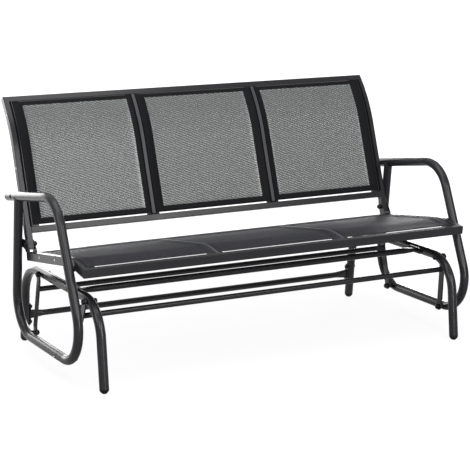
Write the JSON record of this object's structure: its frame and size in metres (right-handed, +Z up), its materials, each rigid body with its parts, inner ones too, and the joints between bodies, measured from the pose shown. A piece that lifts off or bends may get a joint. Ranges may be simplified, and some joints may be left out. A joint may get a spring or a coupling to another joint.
{
  "type": "glider bench",
  "caption": "Outdoor glider bench: charcoal tube frame, mesh sling seat and back, hung on swinging links from a standing base",
  "frame": {"origin": "on the floor under the middle of the whole bench", "axes": "X along the width of the seat, Y from front to back, Z up"},
  "size_m": [1.536, 0.7664, 0.8781],
  "materials": {
    "frame": "dark charcoal powder coat with a fine texture",
    "rib": "charcoal powder coat on aluminium extrusion",
    "black_plastic": "moulded black plastic",
    "black_bolt": "black coated steel",
    "seat_mesh": "charcoal woven mesh",
    "back_mesh": "grey woven mesh, partly see-through",
    "strip": "extruded plastic strip inside the hems"
  },
  "bodies": {
    "base": {"base_arch_left": "frame", "base_arch_right": "frame", "base_front_crossbar": "frame", "base_rear_crossbar": "frame", "foot_plugs": "black_plastic", "top_pivot_bolts": "black_bolt"},
    "front_hanger": {"front_hanger_bar": "frame", "front_hanger_bushes": "black_plastic", "front_hanger_link_left": "frame", "front_hanger_link_right": "frame"},
    "rear_hanger": {"rear_hanger_bar": "frame", "rear_hanger_bushes": "black_plastic", "rear_hanger_link_left": "frame", "rear_hanger_link_right": "frame"},
    "seat": {"arm_bolts": "black_bolt", "arm_lower_tube_left": "frame", "arm_lower_tube_right": "frame", "arm_spacers": "frame", "arm_upper_tube_left": "frame", "arm_upper_tube_right": "frame", "armrest_plugs": "black_plastic", "back_bracket_left": "frame", "back_bracket_right": "frame", "back_lower_rail": "frame", "back_rib_caps": "black_plastic", "back_rib_left": "rib", "back_rib_right": "rib", "back_sling_left": "back_mesh", "back_sling_middle": "back_mesh", "back_sling_right": "back_mesh", "back_sling_strips": "strip", "back_stile_left": "frame", "back_stile_right": "frame", "back_top_rail": "frame", "back_track_left": "frame", "back_track_right": "frame", "bracket_bolts": "black_bolt", "frame_plugs": "black_plastic", "low_pivot_bolts": "black_bolt", "low_pivot_bosses": "frame", "seat_front_rail": "frame", "seat_rear_rail": "frame", "seat_rib_left": "rib", "seat_rib_right": "rib", "seat_side_rail_left": "frame", "seat_side_rail_right": "frame", "seat_sling_left": "seat_mesh", "seat_sling_middle": "seat_mesh", "seat_sling_right": "seat_mesh", "seat_sling_strips": "strip", "seat_track_left": "frame", "seat_track_right": "frame"}
  },
  "joints": [
    {"name": "front_swing", "type": "hinge", "parent": "base", "child": "front_hanger", "pos_m": [0, -0.26258, 0.28245], "axis": [1, 0, 0], "range_deg": [-12, 12]},
    {"name": "rear_swing", "type": "hinge", "parent": "base", "child": "rear_hanger", "pos_m": [0, 0.14242, 0.288], "axis": [1, 0, 0], "range_deg": [-12.5, 12.5]},
    {"name": "seat_tip", "type": "hinge", "parent": "front_hanger", "child": "seat", "pos_m": [0, -0.21358, 0.0825], "axis": [1, 0, 0], "range_deg": [-14.5, 14.5]}
  ],
  "couplings": [
    {"joint": "rear_swing", "follows": "front_swing", "ratio": 0.9946},
    {"joint": "seat_tip", "follows": "front_swing", "ratio": -1.1751}
  ]
}
